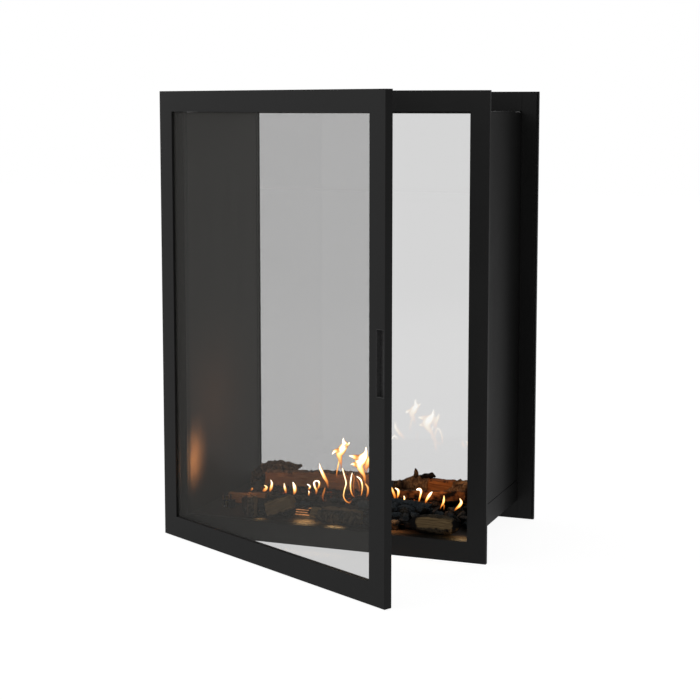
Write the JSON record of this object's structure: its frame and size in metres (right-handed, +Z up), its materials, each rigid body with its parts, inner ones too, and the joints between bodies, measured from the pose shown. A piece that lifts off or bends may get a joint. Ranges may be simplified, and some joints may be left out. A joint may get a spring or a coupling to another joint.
{
  "type": "double-sided fireplace",
  "caption": "Tall see-through gas fireplace with a slim black frame on each side, a side-hinged glass door, a fixed rear pane and a log fire between them.",
  "frame": {"origin": "middle of the bottom edge of the front frame, on the floor plane and halfway through the frame's thickness", "axes": "+Z up; +X to the right seen from the door side; +Y through the fireplace from the door side to the fixed side"},
  "size_m": [0.7512, 0.7868, 1],
  "materials": {
    "frame_black": "satin black powder coat on steel",
    "chamber_steel": "satin dark heat-proof paint on steel",
    "bright_steel": "bright rolled stainless steel",
    "brass": "turned brass",
    "tinted_glass": "lightly tinted flat ceramic glass",
    "fibre_seal": "black woven glass-fibre seal",
    "white_ceramic": "glazed white ceramic",
    "log_bark": "ceramic-fibre log moulded and coloured as charred bark",
    "log_split": "ceramic-fibre log coloured as split reddish wood",
    "log_char": "ceramic-fibre log coloured as charcoal",
    "embers": "loose ember granules on the burner"
  },
  "bodies": {
    "firebox": {"front_frame": "frame_black", "rear_frame": "frame_black", "front_flange": "frame_black", "rear_flange_top": "frame_black", "rear_flange_lower": "frame_black", "left_skirt": "frame_black", "right_skirt": "frame_black", "left_side_panel": "frame_black", "right_side_panel": "frame_black", "top_panel": "frame_black", "base_pan": "frame_black", "rear_glass": "tinted_glass", "rear_glass_gasket": "fibre_seal", "left_liner": "chamber_steel", "right_liner": "chamber_steel", "ceiling": "chamber_steel", "floor_plate": "chamber_steel", "burner_box": "chamber_steel", "burner_plate": "chamber_steel", "flue_inner_pipe": "bright_steel", "flue_outer_pipe": "bright_steel", "gas_manifold": "bright_steel", "gas_inlet_pipe": "bright_steel", "gas_union": "brass", "pilot_bracket": "bright_steel", "spark_electrode": "white_ceramic", "pilot_burner": "brass", "flame_sensor": "bright_steel", "levelling_foot_1": "bright_steel", "levelling_foot_2": "bright_steel", "levelling_foot_3": "bright_steel", "levelling_foot_4": "bright_steel", "long_log_left": "log_split", "back_log_left": "log_bark", "small_log_left": "log_split", "split_log_front": "log_split", "charcoal_log_left": "log_char", "charcoal_log_front": "log_char", "charcoal_log_right": "log_char", "grey_log_front": "log_bark", "long_log_right": "log_split", "bark_log_right": "log_bark", "end_log_right": "log_bark", "stump_front": "log_bark", "ember_bed": "embers", "lower_pivot_lug": "frame_black", "upper_pivot_lug": "frame_black"},
    "front_door": {"door_frame": "frame_black", "door_glass": "tinted_glass", "door_glass_gasket": "fibre_seal", "door_glass_retainer": "frame_black", "door_rope": "fibre_seal", "finger_pull": "frame_black", "lower_magnet": "bright_steel", "upper_magnet": "bright_steel", "lower_pivot_pin": "bright_steel", "upper_pivot_pin": "bright_steel"}
  },
  "joints": [
    {"name": "door_hinge", "type": "hinge", "parent": "firebox", "child": "front_door", "pos_m": [-0.3685, -0.0129, 0], "axis": [0, 0, -1], "range_deg": [-28.5, 61.5]}
  ]
}
